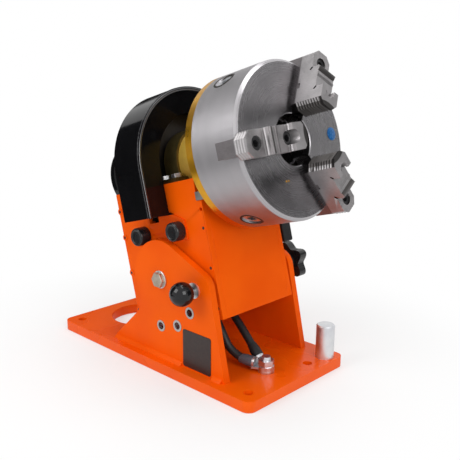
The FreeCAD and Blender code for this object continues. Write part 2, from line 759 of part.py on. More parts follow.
# Motor, gearbox and their plate under the spindle
pinion_drop = g.tooth_module * (g.gear_teeth + g.pinion_teeth) / 2
pinion_height = g.spindle_height - pinion_drop
plate_x = (g.gear_width - g.gear_rear + 2, g.gear_width - g.gear_rear + 8)
motor_plate = prism(
    "motor_plate",
    "YZ_Plane",
    rectangle(-head_inside, head_inside, 13, 84),
    plate_x[0],
    plate_x[1],
    [(0, pinion_height, 8)],
)
node(motor_plate, "motor_plate", HEAD * motor_plate.Placement)
gearbox = prism("gearbox", "YZ_Plane", rectangle(-34, 34, 13, 82), plate_x[1], 46)
round_corners(gearbox, "YZ_Plane", rectangle(-34, 34, 13, 82), 8)
node(gearbox, "gearbox", HEAD * gearbox.Placement)
motor_profile = [(46, 0), (46, 27), (78, 27), (82, 23), (82, 0)]
motor_at = V(0, 0, pinion_height.number)
node(turned("motor", motor_profile, motor_at, "x", HEAD), "motor")


# Gear teeth
def involute(angle):
    return math.tan(angle) - angle


def gear_outline(teeth, shift, slack):
    """Tooth corners of a gear: involute flanks drawn with short chords."""
    module = g.tooth_module.number
    pressure = math.radians(20)
    pitch = module * teeth / 2
    base_circle = pitch * math.cos(pressure)
    tip = pitch + module * (1 + shift)
    root = pitch - module * (1.25 - shift)
    half_thick = (math.pi / 2 + 2 * shift * math.tan(pressure)) * module / 2 / pitch
    half_thick -= slack / 2 / pitch

    def half_angle(radius):
        working = math.acos(min(1.0, base_circle / radius))
        return half_thick + involute(pressure) - involute(working)

    start = max(root + 0.15, base_circle)
    middle = (start + tip) / 2
    flank = [(root, half_angle(start) + 0.15 / start), (start, half_angle(start))]
    flank += [(middle, half_angle(middle)), (tip, half_angle(tip))]
    corners = []
    for tooth in range(teeth):
        centre = 2 * math.pi * tooth / teeth
        for radius, half in flank:
            corners.append((radius, centre - half))
        for radius, half in reversed(flank):
            corners.append((radius, centre + half))
    return [(radius * math.cos(turn), radius * math.sin(turn)) for radius, turn in corners]


def gear_solid(teeth, shift, start, width, bore, turn_degrees):
    outline = gear_outline(teeth, shift, 0.2)
    points = [V(start, across, up) for across, up in outline]
    solid = polygon_solid(points, V(width, 0, 0))
    if bore > 0:
        solid = solid.cut(Part.makeCylinder(bore, width, V(start, 0, 0), V(1, 0, 0)))
    solid.rotate(V(0, 0, 0), V(1, 0, 0), turn_degrees)
    return solid


gear_start = -g.gear_rear.number
gear_teeth = int(round(g.gear_teeth.number))
pinion_teeth = int(round(g.pinion_teeth.number))
spindle_r = g.spindle_radius.number
gear = gear_solid(gear_teeth, -0.3, gear_start, g.gear_width.number, spindle_r, -90)
hub = Part.makeCylinder(37, 12, V(gear_start - 12, 0, 0), V(1, 0, 0))
hub = hub.cut(Part.makeCylinder(spindle_r, 12, V(gear_start - 12, 0, 0), V(1, 0, 0)))
shaped("drive_gear", gear.fuse(hub), SPIN)
pinion_turn = 90 + 180 / pinion_teeth
pinion = gear_solid(pinion_teeth, 0.3, gear_start - 1, g.gear_width.number + 2, 0, pinion_turn)
pinion_shaft = Part.makeCylinder(6, plate_x[1].number - gear_start, V(gear_start, 0, 0), V(1, 0, 0))
pinion_place = HEAD * FreeCAD.Placement(motor_at, FreeCAD.Rotation())
shaped("drive_pinion", pinion.fuse(pinion_shaft), pinion_place)

# Gear guard: a deep round-topped cover with a rolled front lip, feet and a fixing tab
guard_foot = g.guard_foot - g.spindle_height
guard_opening = g.head_half + g.guard_opening


def arch(radius, foot, start, end, name):
    dome = cylinder(name + "_dome", radius, end - start, V(size(start).number, 0, 0), "x")
    dome.Angle = 180
    upper_half = UPRIGHT["x"] * FreeCAD.Rotation(V(0, 0, 1), 90)
    dome.Placement = FreeCAD.Placement(dome.Placement.Base, upper_half)
    legs = box(name + "_legs", (start, end), (-radius, radius), (foot, 0))
    return fused(name, [dome, legs])


guard_skin_x = -g.guard_rear + g.guard_sheet
guard_outer = arch(g.guard_radius, guard_foot, guard_skin_x, g.guard_front, "guard_outer")
inner_radius = g.guard_radius - g.guard_sheet
guard_inner = arch(inner_radius, guard_foot - 5, guard_skin_x - 5, g.guard_front + 5, "guard_inner")
guard_tube = less("guard_tube", guard_outer, guard_inner)
guard_back_blank = arch(g.guard_radius, guard_foot, -g.guard_rear, guard_skin_x, "guard_back_blank")
web_start = g.guard_front - 3 - g.guard_sheet
guard_web_blank = arch(inner_radius, guard_foot + 2.5, web_start, web_start + g.guard_sheet, "guard_web_blank")
front_opening = cylinder("front_opening", guard_opening, 20, V(web_start.number - 5, 0, 0), "x")
lower_opening = box(
    "lower_opening",
    (-g.guard_rear - 10, g.guard_front + 10),
    (-guard_opening, guard_opening),
    (guard_foot - 10, head_top - g.spindle_height),
)
middle_opening = box(
    "middle_opening",
    (web_start - 5, web_start + 15),
    (-guard_opening, guard_opening),
    (guard_foot - 10, 0),
)
guard_web = less("guard_web", guard_web_blank, fused("web_openings", [front_opening, middle_opening]))
rear_opening = cylinder("rear_opening", 40, 20, V(-g.guard_rear.number - 5, 0, 0), "x")
guard_rear_drop = box("guard_rear_drop", (-g.guard_rear - 5, -g.guard_rear + 15), (-40, 40), (guard_foot - 10, 0))
rear_cut = fused("rear_cut", [rear_opening, guard_rear_drop, lower_opening])
node(less("guard_back", guard_back_blank, rear_cut), "guard_back", SPIN)
feet = []
for side in (-1, 1):
    wide = (guard_opening, g.guard_radius) if side > 0 else (-g.guard_radius, -guard_opening)
    narrow = (g.guard_radius - 27, g.guard_radius)
    if side < 0:
        narrow = (-g.guard_radius, -g.guard_radius + 27)
    level = (guard_foot, guard_foot + 2.5)
    feet.append(box(f"foot_front_{side}", (gear_slot[1], g.guard_front), wide, level))
    feet.append(box(f"foot_rear_{side}", (guard_skin_x, gear_slot[0]), wide, level))
    feet.append(box(f"foot_middle_{side}", (gear_slot[0], gear_slot[1]), narrow, level))
tab_low = 61 - g.spindle_height
tab_outline = [
    (-16, tab_low),
    (25, tab_low),
    (31, tab_low - 13),
    (57, tab_low - 13),
    (57, tab_low + 13),
    (g.guard_front, guard_foot + 2.5),
    (gear_slot[1], guard_foot + 2.5),
    (gear_slot[1], guard_foot - 8),
    (gear_slot[0], guard_foot - 8),
    (gear_slot[0], guard_foot + 2.5),
    (-16, guard_foot + 2.5),
]
tab_holes = [(44, tab_low, 4.5)]
tab = prism("guard_tab", "XZ_Plane", tab_outline, -g.head_half - 2.5, -g.head_half, tab_holes)
guard_rim = fused("guard_rim", [guard_tube, tab] + feet)
node(together("gear_guard", [guard_rim, guard_web]), "gear_guard", SPIN)

# Hand knobs that hold the guard
for name, (across, up), seat in (("guard_knob_rear", knob_spots[0], 0), ("guard_knob_front", knob_spots[1], 2.5)):
    start = g.head_half + seat
    end = g.head_half + 17
    knob_profile = [
        (head_inside + 1, 0),
        (head_inside + 1, 4),
        (start, 4),
        (start, 12),
        (start + 3, 13),
        (end - 9, 13),
        (end - 7.5, 11.6),
        (end - 6, 11.6),
        (end - 4.5, 13),
        (end - 1.5, 13),
        (end, 11.5),
        (end, 9),
        (end - 1, 8.5),
        (end - 1, 0),
    ]
    node(turned(name, knob_profile, V(across, 0, up), "-y", HEAD), name)

# Control box on the far wall, stepped to clear the side plate
box_outside = plate_outside + 21
box_upper = box("box_upper", (58, 84), (g.head_half, box_outside), (50, 110))
box_lower = box("box_lower", (58, 84), (plate_outside + 2, box_outside), (14, 50))
node(fused("control_box", [box_upper, box_lower]), "control_box", HEAD)

# Brush that earths the turning backplate
holder = box("holder_block", (g.head_front - 8, 106), (-head_inside - 10, -head_inside + 2), (g.head_step, g.head_step + 11))
node(holder, "brush_holder", HEAD * holder.Placement)
brush = box("brush_block", (106, g.backplate_rear - 0.3), (-head_inside - 8, -head_inside), (g.head_step + 2, g.head_step + 9))
node(brush, "contact_brush", HEAD * brush.Placement)

# Hollow spindle, rear collar and backplate
spindle_profile = ring(g.spindle_bore, g.spindle_radius, -g.spindle_rear, g.backplate_rear)
node(turned("spindle", spindle_profile, V(0, 0, 0), "x", SPIN), "spindle")
collar_profile = [
    (-g.spindle_rear, g.spindle_radius),
    (-g.spindle_rear + g.collar_width, g.spindle_radius),
    (-g.spindle_rear + g.collar_width, g.collar_radius - 1.5),
    (-g.spindle_rear + g.collar_width - 1.5, g.collar_radius),
    (-g.spindle_rear + 1.5, g.collar_radius),
    (-g.spindle_rear, g.collar_radius - 1.5),
]
node(turned("rear_collar", collar_profile, V(0, 0, 0), "x", SPIN), "rear_collar")
screw_circle = []
for count in range(6):
    turn = math.radians(30 + 60 * count)
    screw_circle.append((56 * math.cos(turn), 56 * math.sin(turn)))
plate_profile = [
    (g.backplate_rear, g.spindle_bore),
    (g.backplate_rear + g.backplate_thickness, g.spindle_bore),
    (g.backplate_rear + g.backplate_thickness, g.chuck_radius),
    (g.backplate_rear + 1.5, g.chuck_radius),
    (g.backplate_rear, g.chuck_radius - 1.5),
]
plate_holes = [(across, up, 6.6) for across, up in screw_circle]
node(turned("backplate", plate_profile, V(0, 0, 0), "x", SPIN, plate_holes), "backplate")
plate_screws = []
for number, (across, up) in enumerate(screw_circle):
    at = V(g.backplate_rear.number + 1, across, up)
    plate_screws.append(cylinder(f"plate_screw_{number}", 6.5, g.backplate_thickness - 1, at, "x"))
node(together("backplate_bolts", plate_screws), "backplate_bolts", SPIN)

# Chuck body: jaw ways, a cavity for the scroll, and three key bores in the rim
jaw_angles = (181.3, 61.3, -58.7)
key_angles = (241.3, 1.3, 121.3)
chuck_back = FACE - g.chuck_depth
scroll_top = FACE - 24.2
cavity_inner = g.chuck_bore + 3
cavity_outer = 77.3
chuck_profile = [
    (chuck_back, g.chuck_bore),
    (FACE - 1, g.chuck_bore),
    (FACE, g.chuck_bore + 1),
    (FACE, g.chuck_radius - 4),
    (FACE - 4, g.chuck_radius),
    (chuck_back, g.chuck_radius),
    (chuck_back, cavity_outer),
    (scroll_top, cavity_outer),
    (scroll_top, cavity_inner),
    (chuck_back, cavity_inner),
]


def radial(degrees, height=0):
    """Places a piece drawn with X outward, Y across and Z towards the work."""
    turn = math.radians(degrees)
    out = V(0, math.cos(turn), math.sin(turn))
    rotation = FreeCAD.Rotation(out, V(0, -out.z, out.y), V(1, 0, 0), "XZY")
    return FreeCAD.Placement(V(size(height).number, 0, 0), rotation)


def set_at(thing, place):
    thing.Placement = place * thing.Placement
    return thing


chuck_blank = turned("chuck_blank", chuck_profile)
chuck_cuts = []
way = g.slide_half + g.running
for number, degrees in enumerate(jaw_angles):
    slot = box(f"jaw_way_{number}", (0, g.chuck_radius + 5), (-way, way), (-24.2, 5))
    chuck_cuts.append(set_at(slot, radial(degrees, FACE)))
    notch = box(f"tooth_notch_{number}", (0, cavity_inner + 2), (-4, 4), (-28, -23))
    chuck_cuts.append(set_at(notch, radial(degrees, FACE)))
key_level = -48
for number, degrees in enumerate(key_angles):
    bore = cylinder(f"key_bore_{number}", 12 + g.running, 40, V(75, 0, key_level), "x")
    chuck_cuts.append(set_at(bore, radial(degrees, FACE)))
node(less("chuck_body", chuck_blank, fused("chuck_cuts", chuck_cuts)), "chuck_body", SPIN)
cover_profile = ring(cavity_inner, cavity_outer, chuck_back, chuck_back + 11)
node(turned("chuck_cover", cover_profile, V(0, 0, 0), "x", SPIN), "chuck_cover")

# Key pinions in the rim, each with a square socket
for number, degrees in enumerate(key_angles, start=1):
    shank_piece = cylinder(f"key_shank_{number}", 12, 20, V(78, 0, 0), "x")
    socket = box(f"key_socket_{number}", (86, 110), (-5, 5), (-5, 5))
    key = less(f"key_pinion_{number}", shank_piece, socket)
    node(key, f"key_pinion_{number}", SPIN * radial(degrees, FACE + key_level))

# Scroll: a disc with a spiral ridge that the base jaws ride on
ridge_wide = 3.5
ridge_start = 38
pitch = g.scroll_pitch.number
scroll_bore = cavity_inner.number + 0.3


def spiral(radius_offset, steps, turns):
    points = []
    for step in range(steps + 1):
        turn = 2 * math.pi * turns * step / steps
        radius = ridge_start + radius_offset + pitch * turn / (2 * math.pi)
        points.append(V(0, radius * math.cos(turn), radius * math.sin(turn)))
    return points


spiral_turns = 3.85
ridge = spiral(0, 96, spiral_turns) + list(reversed(spiral(ridge_wide, 96, spiral_turns)))
ridge_solid = polygon_solid([point + V(-28.2, 0, 0) for point in ridge], V(3.8, 0, 0))
disc = Part.makeCylinder(76.8, 9, V(-37, 0, 0), V(1, 0, 0))
disc = disc.cut(Part.makeCylinder(scroll_bore, 9, V(-37, 0, 0), V(1, 0, 0)))
scroll_solid = disc.fuse(ridge_solid)
scroll_place = SPIN * FreeCAD.Placement(V(FACE.number, 0, 0), FreeCAD.Rotation())
shaped("scroll", scroll_solid, scroll_place)

# Jaws: a base jaw that rides in its way, and a stepped top jaw bolted to it
key_slot = (60.5, 67.5)
base_jaw_outline = [
    (g.slide_inner, -24),
    (g.slide_outer, -24),
    (g.slide_outer, g.jaw_seat),
    (key_slot[1] - 0.1, g.jaw_seat),
    (key_slot[1] - 0.1, g.jaw_seat + 3.4),
    (key_slot[0] + 0.1, g.jaw_seat + 3.4),
    (key_slot[0] + 0.1, g.jaw_seat),
    (g.slide_inner, g.jaw_seat),
]
tooth_wide = pitch - ridge_wide - 1.6
slit = 1.6
top_jaw_outline = [
    (g.jaw_inner, g.jaw_seat),
    (key_slot[0], g.jaw_seat),
    (key_slot[0], g.jaw_seat + 3.5),
    (key_slot[1], g.jaw_seat + 3.5),
    (key_slot[1], g.jaw_seat),
    (g.jaw_outer, g.jaw_seat),
    (g.jaw_outer, g.jaw_low),
    (g.riser_outer, g.jaw_low),
    (g.riser_outer - slit * 2, g.jaw_low - slit * 2),
    (g.riser_outer - slit * 3, g.jaw_low - slit),
    (g.riser_outer, g.jaw_low + slit * 2),
    (g.riser_outer, g.jaw_middle),
    (g.riser_inner, g.jaw_middle),
    (g.riser_inner - slit * 2, g.jaw_middle - slit * 2),
    (g.riser_inner - slit * 3, g.jaw_middle - slit),
    (g.riser_inner, g.jaw_middle + slit * 2),
    (g.riser_inner, g.jaw_high),
    (g.jaw_inner, g.jaw_high),
]
jaw_half = g.jaw_half.number
tip_half = jaw_half - g.jaw_bevel.number
jaw_plan = [
    V((g.jaw_inner + g.jaw_bevel).number, -jaw_half, 0),
    V((g.jaw_outer - g.jaw_bevel).number, -jaw_half, 0),
    V(g.jaw_outer.number, -tip_half, 0),
    V(g.jaw_outer.number, tip_half, 0),
    V((g.jaw_outer - g.jaw_bevel).number, jaw_half, 0),
    V((g.jaw_inner + g.jaw_bevel).number, jaw_half, 0),
    V(g.jaw_inner.number, tip_half, 0),
    V(g.jaw_inner.number, -tip_half, 0),
]


def grooves(start, end, levels):
    """V grooves at these heights along one upright face of a jaw, whose metal is on the left."""
    along = end - start
    inward = V(-along.y, along.x, 0).normalize() * groove_depth
    cuts = []
    for level in levels:
        mouth = [start + V(0, 0, level - groove_depth), start + V(0, 0, level + groove_depth)]
        cuts.append(polygon_solid([mouth[0], start + inward + V(0, 0, level), mouth[1]], along))
    return cuts


groove_depth = 1.6
groove_pitch = 4
first_groove = g.jaw_seat.number + 3
low_levels = [first_groove + groove_pitch * count for count in range(4)]
high_levels = [first_groove + groove_pitch * count for count in range(9)]
grip_cuts = []
for first in (1, 2, 3):
    grip_cuts += grooves(jaw_plan[first], jaw_plan[first + 1], low_levels)
for first in (5, 6, 7):
    grip_cuts += grooves(jaw_plan[first], jaw_plan[(first + 1) % 8], high_levels)
for riser, level in ((g.riser_outer, g.jaw_low + 5.5), (g.riser_inner, g.jaw_middle + 6)):
    foot = V(riser.number, -jaw_half, 0)
    grip_cuts += grooves(foot, foot + V(0, 2 * jaw_half, 0), [level.number])
corner_cuts = []
for first, second, corner_x in ((1, 2, g.jaw_outer), (4, 3, g.jaw_outer), (5, 6, g.jaw_inner), (0, 7, g.jaw_inner)):
    corner = V(corner_x.number, jaw_plan[first].y, 0)
    corner_cuts.append(polygon_solid([jaw_plan[first], jaw_plan[second], corner], V(0, 0, 60)))
grip_tool = doc.addObject("Part::Feature", "jaw_grip")
grip_tool.Shape = Part.makeCompound(grip_cuts)
corner_tool = doc.addObject("Part::Feature", "jaw_corners")
corner_tool.Shape = Part.makeCompound(corner_cuts)
well_radius = 8.3
screw_spots = ((97, g.jaw_low - 14), (55, g.jaw_middle - 14))
for number, degrees in enumerate(jaw_angles, start=1):
    place = SPIN * radial(degrees, FACE)
    name = f"base_jaw_{number}"
    blank = prism(name + "_rail", "XZ_Plane", base_jaw_outline, -g.slide_half, g.slide_half)
    teeth = []
    jaw_turn = math.radians(degrees) % (2 * math.pi)
    for count in range(8):
        radius = ridge_start + ridge_wide + 0.8 + pitch * (jaw_turn / (2 * math.pi) + count)
        if 45 < radius and radius + tooth_wide < 74:
            span = (radius, radius + tooth_wide)
            teeth.append(box(f"{name}_tooth_{count}", span, (-3.5, 3.5), (-27.6, -23)))
    node(fused(name, [blank] + teeth), name, place)
    name = f"top_jaw_{number}"
    jaw = prism(name + "_steps", "XZ_Plane", top_jaw_outline, -g.jaw_half, g.jaw_half)
    jaw = less(name + "_bevelled", jaw, corner_tool)
    jaw = less(name + "_grooved", jaw, grip_tool)
    wells = []
    for along, seat in screw_spots:
        start = V(along, 0, size(seat).number)
        wells.append(cylinder(f"{name}_well_{along}", well_radius, 60, start, "z"))
    node(less(name, jaw, fused(name + "_wells", wells)), name, place)
    heads = []
    for along, seat in screw_spots:
        start = V(along, 0, size(seat).number)
        head = cylinder(f"screw_head_{number}_{along}", well_radius - 0.3, 12, start, "z")
        key_hole = hexagon(f"screw_key_{number}_{along}", 8, 12, start + V(0, 0, 5), "z")
        heads.append(less(f"screw_{number}_{along}", head, key_hole))
    node(together(f"jaw_screws_{number}", heads), f"jaw_screws_{number}", place)

# Star knob that clamps the head from the far side
lobes = 5
star_at = plate_outside.number + 22
star_points = []
for step in range(60):
    turn = 2 * math.pi * step / 60
    reach = g.star_radius.number - 4.5 + 4.5 * math.cos(lobes * (turn - math.pi / lobes))
    star_points.append(V(reach * math.cos(turn), star_at, reach * math.sin(turn)))
star = polygon_solid(star_points, V(0, 14, 0))
star_hub = Part.makeCylinder(13, 20, V(0, plate_outside.number + 2, 0), V(0, 1, 0))
stem_length = star_at - g.head_half.number - 0.3
stem = Part.makeCylinder(5.95, stem_length, V(0, g.head_half.number + 0.3, 0), V(0, 1, 0))
clamp_place = FreeCAD.Placement(plunger_at, FreeCAD.Rotation())
shaped("clamp_knob", star.fuse([star_hub, stem]), clamp_place)

# Check every object and write the pieces
doc.recompute()
for thing in doc.Objects:
    if "Invalid" in thing.State or "Error" in thing.State:
        raise SystemExit(f"{thing.Label} failed: {thing.State}")
for name, thing in nodes.items():
    if thing.Shape.isNull() or not thing.Shape.isValid():
        raise SystemExit(f"{name} has no valid shape")
    if not thing.Shape.Solids:
        raise SystemExit(f"{name} has no solid")
os.makedirs("parts", exist_ok=True)
for name, thing in nodes.items():
    thing.Shape.exportStep(f"parts/{name}.step")
print(len(nodes), "pieces written")
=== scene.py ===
# %% [markdown]
# # A bench welding positioner
# The CAD model gives every rigid piece at its real size. This lesson dresses it: paint,
# plating, turned steel and rubber, and the small details that a solid leaves out, such as
# ribs on the jaws and heat-shrink on the cables. Places in the scene are in metres, and the
# profiles of small pieces in millimetres, as a machinist would write them.

# %% Load the frame
import json
import math

import bmesh
import bpy
from mathutils import Matrix, Vector

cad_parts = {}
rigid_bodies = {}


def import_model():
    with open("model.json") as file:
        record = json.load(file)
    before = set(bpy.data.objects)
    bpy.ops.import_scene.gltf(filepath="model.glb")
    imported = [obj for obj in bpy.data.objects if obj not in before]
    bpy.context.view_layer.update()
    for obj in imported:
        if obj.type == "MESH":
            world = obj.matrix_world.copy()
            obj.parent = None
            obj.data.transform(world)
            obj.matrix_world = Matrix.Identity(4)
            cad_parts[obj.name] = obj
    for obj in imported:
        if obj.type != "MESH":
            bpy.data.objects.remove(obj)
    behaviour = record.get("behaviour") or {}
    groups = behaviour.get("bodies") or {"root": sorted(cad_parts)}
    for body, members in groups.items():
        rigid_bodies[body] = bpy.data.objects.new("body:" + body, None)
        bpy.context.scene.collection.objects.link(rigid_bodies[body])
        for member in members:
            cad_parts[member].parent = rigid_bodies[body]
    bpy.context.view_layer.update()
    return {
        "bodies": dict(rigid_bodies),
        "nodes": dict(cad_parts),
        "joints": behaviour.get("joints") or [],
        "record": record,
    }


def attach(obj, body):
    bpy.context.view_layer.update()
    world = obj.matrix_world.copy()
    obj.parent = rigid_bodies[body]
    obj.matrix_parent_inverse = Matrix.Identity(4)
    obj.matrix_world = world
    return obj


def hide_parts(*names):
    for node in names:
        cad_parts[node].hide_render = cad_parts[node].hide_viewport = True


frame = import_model()
nodes = frame["nodes"]
print("CAD nodes:", len(nodes))

# %% [markdown]
# ## Directions on the tilted head
# The head leans back by 15 degrees on its tilt axis, and the spindle runs along it. Details
# on the head are easier to place in its own level frame, so two matrices hold that frame and
# the spindle's. A helper gives the place of a jaw, drawn with X outward from the spindle,
# Y across and Z towards the work.

# %% Head and spindle frames
TILT = math.radians(15)
PIVOT = Vector((0.021, 0.0, 0.128))
SPINDLE_HEIGHT = 0.1477
CHUCK_FACE = 0.2012
CHUCK_RADIUS = 0.1
head = Matrix.Translation(PIVOT) @ Matrix.Rotation(-TILT, 4, "Y")
spindle = head @ Matrix.Translation((0, 0, SPINDLE_HEIGHT))
spindle_axis = (spindle.to_3x3() @ Vector((1, 0, 0))).normalized()
spindle_origin = spindle.translation.copy()
AXIS = tuple(spindle_axis)
JAW_DEGREES = (181.3, 61.3, -58.7)


def placed(axes, at):
    """A place with the given X, Y and Z axes and origin."""
    place = Matrix(axes).transposed().to_4x4()
    place.translation = at
    return place


def jaw_place(degrees):
    turn = math.radians(degrees)
    out = Vector((0, math.cos(turn), math.sin(turn)))
    across = Vector((0, -out.z, out.y))
    return spindle @ placed((out, across, Vector((1, 0, 0))), (CHUCK_FACE, 0, 0))


print("spindle axis", [round(value, 3) for value in spindle_axis])

# %% [markdown]
# ## Camera
# The photograph was solved for its camera: the base plate's edges, its holes and the
# circles of the chuck all fit one viewpoint, close enough that the perspective shows.
# The camera stands there, and looks the same way with the same lens.

# %% Camera at the photograph's viewpoint
camera_data = bpy.data.cameras.new("camera")
camera_data.sensor_width = 36
camera_data.lens = 51.955
camera_data.clip_start = 0.05
camera_data.clip_end = 50
camera = bpy.data.objects.new("camera", camera_data)
bpy.context.scene.collection.objects.link(camera)
right = Vector((0.72265, 0.69119, 0.00615)).normalized()
ahead = Vector((-0.67113, 0.70376, -0.23306)).normalized()
up = right.cross(ahead).normalized()
camera.matrix_world = placed((right, up, -ahead), (0.68319, -0.64209, 0.4037))
bpy.context.scene.camera = camera
print("camera distance", round((camera.matrix_world.translation - PIVOT).length, 3))

# %% [markdown]
# ## Shader maths
# A procedural material is mostly small sums on numbers that vary over the surface. Writing
# them as Python expressions keeps them readable, so this class wraps one socket and turns
# +, - and * into Math nodes. Everything else comes from one method that makes a node.


# %% A socket that can be used in sums
class Wire:
    def __init__(self, tree, socket):
        self.tree = tree
        self.socket = socket

    def node(self, kind, inputs=None, output=0, **settings):
        """Adds a node, with its settings first and then the values or links of its sockets."""
        made = self.tree.nodes.new(kind)
        for name, value in settings.items():
            setattr(made, name, value)
        for name, value in (inputs or {}).items():
            if isinstance(value, Wire):
                self.tree.links.new(value.socket, made.inputs[name])
            else:
                made.inputs[name].default_value = value
        return Wire(self.tree, made.outputs[output])

    def math(self, operation, *others):
        return self.node("ShaderNodeMath", dict(enumerate((self, *others))), operation=operation)

    def __add__(self, other):
        return self.math("ADD", other)

    def __sub__(self, other):
        return self.math("SUBTRACT", other)

    def __rsub__(self, other):
        return self.node("ShaderNodeMath", {0: other, 1: self}, operation="SUBTRACT")

    def __mul__(self, other):
        return self.math("MULTIPLY", other)

    def ranged(self, low, high, new_low=0.0, new_high=1.0):
        values = {"Value": self, "From Min": low, "From Max": high}
        values.update({"To Min": new_low, "To Max": new_high})
        return self.node("ShaderNodeMapRange", values, interpolation_type="SMOOTHSTEP")

    def mix(self, first, second):
        """A colour that goes from first to second as this value goes from 0 to 1."""
        colors = {0: self, 6: first, 7: second}
        return self.node("ShaderNodeMix", colors, output=2, data_type="RGBA")

    def vector(self, operation, other=(0, 0, 0), output=0):
        return self.node("ShaderNodeVectorMath", {0: self, 1: other}, output, operation=operation)

    def times(self, direction):
        """A direction, fixed or varying, scaled by this value."""
        values = {0: direction, "Scale": self}
        return self.node("ShaderNodeVectorMath", values, operation="SCALE")

    def noise(self, scale, detail=3.0, rough=0.5):
        values = {"Vector": self, "Scale": scale, "Detail": detail, "Roughness": rough}
        return self.node("ShaderNodeTexNoise", values)


def rgb(red, green, blue):
    return (red, green, blue, 1.0)


def shade_of(color, share):
    return rgb(*[share * value for value in color])


# %% [markdown]
# ## Studio
# The photograph is a product shot on white. A wide pale floor catches the soft shadow, and
# farther out it fades to pure white for the camera and for mirror reflections, as the world
# does, so no horizon shows. Light Path tells those rays from the ones that carry light.

# %% Floor and world
scene = bpy.context.scene
scene.view_settings.view_transform = "Standard"
FLOOR_HALF = 8
AMBIENT = 0.38


def sees_backdrop(tree):
    """1 for camera, mirror and glass rays, and 0 for rays that carry light to the object."""
    path = tree.nodes.new("ShaderNodeLightPath")
    kinds = ("Camera", "Glossy", "Transmission")
    seen, mirrored, through = [Wire(tree, path.outputs[f"Is {kind} Ray"]) for kind in kinds]
    return seen.math("MAXIMUM", mirrored).math("MAXIMUM", through)


def card(name, half_wide, half_high, material):
    """A flat rectangle, for the floor and for the flags."""
    corners = [(-1, -1), (1, -1), (1, 1), (-1, 1)]
    mesh = bpy.data.meshes.new(name)
    points = [(x * half_wide, y * half_high, 0) for x, y in corners]
    mesh.from_pydata(points, [], [(0, 1, 2, 3)])
    mesh.materials.append(material)
    flat = bpy.data.objects.new(name, mesh)
    scene.collection.objects.link(flat)
    return flat


pale = bpy.data.materials.new("pale_floor")
floor = card("floor", FLOOR_HALF, FLOOR_HALF, pale)
floor.location.z = -0.0005
pale.use_nodes = True
tree = pale.node_tree
tree.nodes.remove(tree.nodes["Principled BSDF"])
coordinates = Wire(tree, tree.nodes.new("ShaderNodeTexCoord").outputs["Object"])
distance = coordinates.vector("LENGTH", output=1)
matt = distance.node("ShaderNodeBsdfDiffuse", {"Color": (0.93, 0.93, 0.93, 1)})
glow = distance.node("ShaderNodeEmission", {"Color": (1, 1, 1, 1), "Strength": 1.0})
share = distance.ranged(0.15, 0.5, 0.45, 1.0) * sees_backdrop(tree)
both = share.node("ShaderNodeMixShader", {0: share, 1: matt, 2: glow})
tree.links.new(both.socket, tree.nodes["Material Output"].inputs["Surface"])

world = bpy.data.worlds.new("studio")
scene.world = world
world.use_nodes = True
background = world.node_tree.nodes["Background"]
background.inputs["Color"].default_value = (1, 1, 1, 1)
level = sees_backdrop(world.node_tree) * (1 - AMBIENT) + AMBIENT
world.node_tree.links.new(level.socket, background.inputs["Strength"])
print("ambient light", AMBIENT)

# %% [markdown]
# ## Lamps and flags
# Three wide lamps give soft light from the front, the right and above. Polished steel only
# looks like steel when it has something dark to mirror, so photographers stand black cards,
# called flags, beside it. These ones show in reflections alone: they throw no shadow.


# %% Lamps and flags
def lamp(name, at, towards, size, power):
    data = bpy.data.lights.new(name, "AREA")
    data.shape = "RECTANGLE"
    data.size, data.size_y = size
    data.energy = power
    thing = bpy.data.objects.new(name, data)
    scene.collection.objects.link(thing)
    thing.location = at
    thing.rotation_mode = "QUATERNION"
    thing.rotation_quaternion = (Vector(towards) - Vector(at)).to_track_quat("-Z", "Y")


lamp("key", (-0.5, -1.5, 1.3), (0, 0, 0.2), (1.0, 1.0), 14)
lamp("front", (1.6, -0.5, 1.0), (0.05, 0, 0.2), (0.9, 0.9), 12)
lamp("top", (0.1, 0.3, 1.9), (0, 0, 0.2), (1.4, 1.0), 13)

dark_card = bpy.data.materials.new("flag")
dark_card.use_nodes = True
shader = dark_card.node_tree.nodes["Principled BSDF"]
shader.inputs["Base Color"].default_value = rgb(0.02, 0.02, 0.022)
shader.inputs["Roughness"].default_value = 1.0


def flag(name, at, size, facing=None):
    """A dark card that faces the chuck or a given way, seen only in reflections."""
    flat = card(name, size[0] / 2, size[1] / 2, dark_card)
    flat.location = at
    flat.rotation_mode = "QUATERNION"
    facing = Vector(facing) if facing else spindle_origin - Vector(at)
    flat.rotation_quaternion = facing.to_track_quat("Z", "Y")
    flat.visible_camera = flat.visible_diffuse = flat.visible_shadow = False


flag("flag_right", (1.55, 1.0, 0.55), (1.35, 1.3))
flag("flag_left", (-1.47, -0.74, 0.75), (1.2, 1.7))
flag("flag_top", (-0.7, 0.3, 1.45), (1.4, 0.9))
flag("flag_behind", (-1.5, 0.9, 0.4), (1.6, 0.9))
flag("flag_low", (-0.95, -0.85, 0.004), (1.3, 1.1), facing=(0, 0, 1))

# %% [markdown]
# ## One way to start every material
# Each finish starts the same way: a Principled shader with its plain numbers set on its own
# sockets, and the point on the surface in the piece's own frame, which moves with it.


# %% New material helper
def new_finish(name, metallic=0.0, roughness=0.4, specular=0.5):
    material = bpy.data.materials.new(name)
    material.use_nodes = True
    tree = material.node_tree
    shader = tree.nodes["Principled BSDF"]
    shader.inputs["Metallic"].default_value = metallic
    shader.inputs["Roughness"].default_value = roughness
    shader.inputs["Specular IOR Level"].default_value = specular
    coordinates = tree.nodes.new("ShaderNodeTexCoord")
    return material, shader, Wire(tree, coordinates.outputs["Object"])


def plug(shader, name, wire):
    wire.tree.links.new(wire.socket, shader.inputs[name])


def bump(shader, height, distance, strength=1.0):
    values = {"Height": height, "Distance": distance, "Strength": strength}
    plug(shader, "Normal", height.node("ShaderNodeBump", values))


